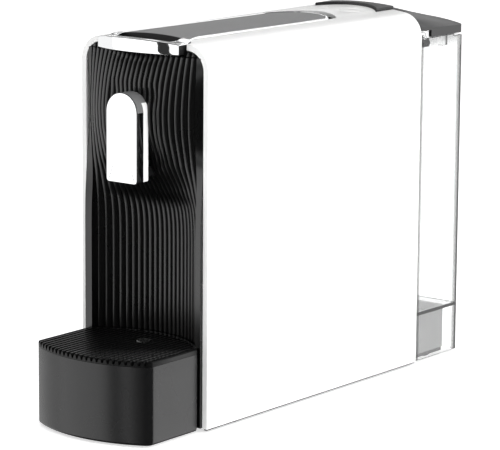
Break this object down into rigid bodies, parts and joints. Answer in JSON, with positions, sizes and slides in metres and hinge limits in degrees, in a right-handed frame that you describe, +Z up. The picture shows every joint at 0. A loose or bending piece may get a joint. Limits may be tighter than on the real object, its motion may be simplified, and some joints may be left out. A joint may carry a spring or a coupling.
{
  "type": "pod coffee machine",
  "caption": "Slim pod coffee machine with an arched white casing, ribbed black front, chrome lever and spout, pull-out drip tray and clear rear water tank with hinged lid.",
  "frame": {"origin": "centre of the footprint, on the plane of the feet", "axes": "-Y is the front with the cup niche, +X the right-hand side, +Z up"},
  "size_m": [0.115, 0.3912, 0.2788],
  "materials": {
    "white_gloss": "gloss white moulded plastic",
    "black_matt": "fine-grained black plastic",
    "steel": "zinc-plated steel",
    "rubber": "soft black rubber",
    "white_satin": "satin white plastic",
    "black_satin": "satin black plastic",
    "cast_alu": "die-cast aluminium",
    "pump_body": "glass-filled nylon",
    "circuit_board": "lacquered circuit board",
    "silicone": "translucent silicone hose",
    "chrome": "polished chrome plating",
    "grey_satin": "satin silver-grey plastic",
    "black_gloss": "gloss black moulded plastic",
    "dark_grey": "satin dark-grey plastic",
    "float_grey": "gloss dark plastic",
    "light_grey": "satin light-grey plastic",
    "clear_plastic": "clear moulded copolyester",
    "lid_grey": "satin anthracite plastic"
  },
  "bodies": {
    "housing": {"outer_shell": "white_gloss", "base_plate": "black_matt", "base_screws": "steel", "rubber_feet": "rubber", "rear_panel": "white_satin", "cord_gland": "rubber", "chassis": "black_matt", "lever_pin": "steel", "top_deck": "black_satin", "capsule_funnel": "black_satin", "guide_rods": "steel", "capsule_cage": "black_matt", "piercing_pins": "steel", "thermoblock": "cast_alu", "thermoblock_stand": "black_matt", "pump": "pump_body", "pump_mounts": "rubber", "pump_cradle": "black_matt", "flow_meter": "pump_body", "control_board": "circuit_board", "button_board": "circuit_board", "suction_hose": "silicone", "feed_hose": "silicone", "pressure_pipe": "silicone", "tank_pedestal": "light_grey", "tank_seat": "black_satin", "seat_seal": "rubber"},
    "lever": {"lever_frame": "chrome", "lever_insert": "grey_satin", "lever_arms": "steel"},
    "pull_linkage": {"pull_links": "steel"},
    "brew_carriage": {"extraction_head": "black_matt", "extraction_plate": "steel", "outlet_tube": "black_matt"},
    "service_unit": {"front_fascia": "black_gloss", "fascia_shoulders": "black_gloss", "spout_cover": "chrome", "coffee_nozzle": "black_satin", "capsule_bin": "black_satin"},
    "tray": {"drip_tray": "dark_grey", "tray_feet": "rubber"},
    "grid": {"cup_grid": "black_satin"},
    "float": {"float_indicator": "float_grey"},
    "tank": {"water_tank": "clear_plastic", "lid_catches": "clear_plastic", "valve_cage": "light_grey", "lid_pin": "steel"},
    "valve": {"valve_poppet": "rubber", "valve_spring": "steel"},
    "lid": {"tank_lid": "lid_grey"},
    "small_cup_key": {"button_small_cup": "white_gloss"},
    "large_cup_key": {"button_large_cup": "white_gloss"}
  },
  "joints": [
    {"name": "lever_lift", "type": "hinge", "parent": "housing", "child": "lever", "pos_m": [0, 0.04635, 0.2635], "axis": [-1, 0, 0], "range_deg": [0, 75]},
    {"name": "link_swing", "type": "hinge", "parent": "lever", "child": "pull_linkage", "pos_m": [0, 0.05235, 0.239], "axis": [1, 0, 0], "range_deg": [0, 85.1]},
    {"name": "head_slide", "type": "slide", "parent": "housing", "child": "brew_carriage", "axis": [0, -1, 0], "range_m": [0, 0.021]},
    {"name": "service_unit_slide", "type": "slide", "parent": "housing", "child": "service_unit", "axis": [0, -1, 0], "range_m": [0, 0.12]},
    {"name": "tray_slide", "type": "slide", "parent": "service_unit", "child": "tray", "axis": [0, -1, 0], "range_m": [0, 0.06]},
    {"name": "grid_lift", "type": "slide", "parent": "tray", "child": "grid", "axis": [0, 0, 1], "range_m": [0, 0.06]},
    {"name": "float_rise", "type": "slide", "parent": "tray", "child": "float", "axis": [0, 0, 1], "range_m": [0, 0.0024]},
    {"name": "tank_lift", "type": "slide", "parent": "housing", "child": "tank", "axis": [0, 0, 1], "range_m": [0, 0.26]},
    {"name": "valve_travel", "type": "slide", "parent": "tank", "child": "valve", "axis": [0, 0, 1], "range_m": [0, 0.0022], "stiffness_N_per_m": 150},
    {"name": "lid_hinge", "type": "hinge", "parent": "tank", "child": "lid", "pos_m": [0, 0.19215, 0.2573], "axis": [-1, 0, 0], "range_deg": [0, 100]},
    {"name": "small_cup_press", "type": "slide", "parent": "housing", "child": "small_cup_key", "axis": [0, 0, -1], "range_m": [0, 0.0015], "stiffness_N_per_m": 800},
    {"name": "large_cup_press", "type": "slide", "parent": "housing", "child": "large_cup_key", "axis": [0, 0, -1], "range_m": [0, 0.0015], "stiffness_N_per_m": 800}
  ],
  "couplings": [
    {"joint": "link_swing", "follows": "lever_lift", "ratio": 1.1213},
    {"joint": "head_slide", "follows": "lever_lift", "m_per_rad": 0.015814}
  ]
}
